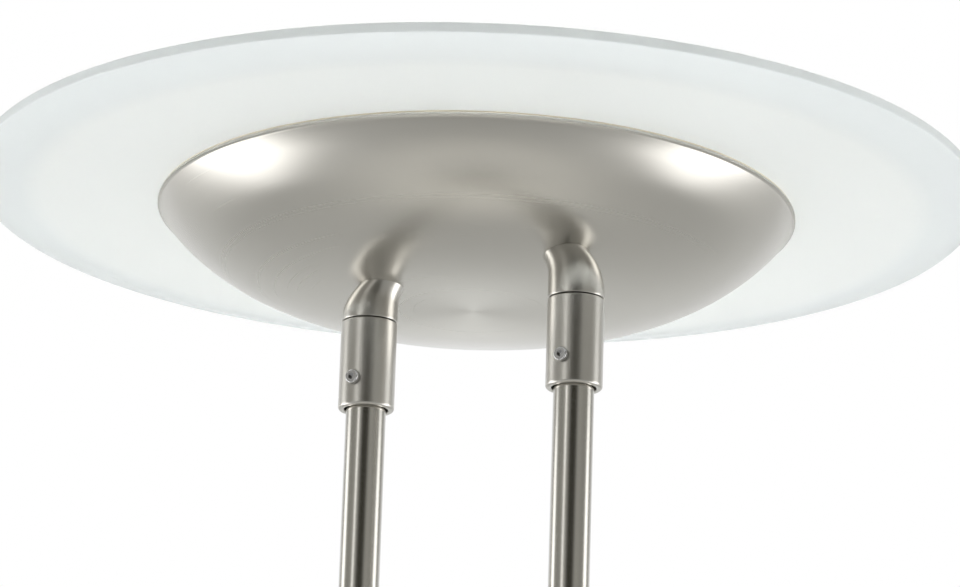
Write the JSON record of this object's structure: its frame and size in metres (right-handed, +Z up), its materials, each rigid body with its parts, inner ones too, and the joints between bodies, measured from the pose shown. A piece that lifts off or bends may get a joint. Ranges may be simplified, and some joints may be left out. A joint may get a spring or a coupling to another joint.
{
  "type": "torchiere floor lamp",
  "caption": "Floor uplighter with a shallow spun bowl under a wide frosted glass ring, on twin parallel poles with a rotary dimmer and a weighted round base.",
  "frame": {"origin": "on the floor under the common axis of the bowl, glass and base", "axes": "+Z up, +X along the line of the two poles, +Y towards the back, where the cord inlet is"},
  "size_m": [0.4099, 0.41, 1.8],
  "materials": {
    "satin_nickel": "satin",
    "frosted_glass": "frosted",
    "silicone": "matte",
    "steel": "satin",
    "aluminium": "satin",
    "white_plastic": "matte",
    "white_coating": "matte",
    "led_yellow": "gloss",
    "opal_acrylic": "satin",
    "cast_iron": "matte",
    "black_steel": "matte",
    "black_rubber": "matte",
    "cable_sheath": "satin",
    "black_plastic": "matte",
    "circuit_board": "satin"
  },
  "bodies": {
    "stand": {"glass_gasket": "silicone", "bowl_shell": "satin_nickel", "left_elbow": "satin_nickel", "right_elbow": "satin_nickel", "left_collar": "satin_nickel", "right_collar": "satin_nickel", "collar_screws": "steel", "head_nipples": "steel", "head_spacers": "steel", "head_washers": "steel", "head_nuts": "steel", "support_plate": "steel", "plate_standoffs": "steel", "heat_sink": "aluminium", "heat_sink_screws": "steel", "led_board": "white_plastic", "led_chips": "led_yellow", "led_driver": "white_plastic", "driver_screws": "steel", "head_terminal": "white_plastic", "reflector": "white_coating", "diffuser": "opal_acrylic", "retaining_ring": "satin_nickel", "ring_screws": "steel", "left_pole_lower": "satin_nickel", "left_pole_middle": "satin_nickel", "left_pole_upper": "satin_nickel", "right_pole_lower": "satin_nickel", "right_pole_middle": "satin_nickel", "right_pole_upper": "satin_nickel", "pole_couplers": "steel", "feed_cable": "cable_sheath", "head_cable": "cable_sheath", "dimmer_front": "satin_nickel", "dimmer_back": "satin_nickel", "dimmer_screws": "steel", "dimmer_board": "circuit_board", "dimmer_pot": "steel", "base_cover": "satin_nickel", "base_weight": "cast_iron", "base_plate": "black_steel", "base_plate_screws": "steel", "base_feet": "black_rubber", "left_foot_collar": "satin_nickel", "right_foot_collar": "satin_nickel", "foot_screws": "steel", "pole_studs": "steel", "stud_washers": "steel", "stud_nuts": "steel", "base_terminal": "white_plastic", "cord_gland": "black_plastic", "gland_nut": "black_plastic"},
    "glass": {"glass_shade": "frosted_glass"},
    "knob": {"dimmer_shaft": "steel", "dimmer_knob": "satin_nickel"}
  },
  "joints": [
    {"name": "dimmer_turn", "type": "hinge", "parent": "stand", "child": "knob", "pos_m": [0.0205, -0.06, 1.08], "axis": [0, 1, 0], "range_deg": [-135, 135]},
    {"name": "glass_lift", "type": "slide", "parent": "stand", "child": "glass", "axis": [0, 0, 1], "range_m": [0, 0.06]}
  ]
}
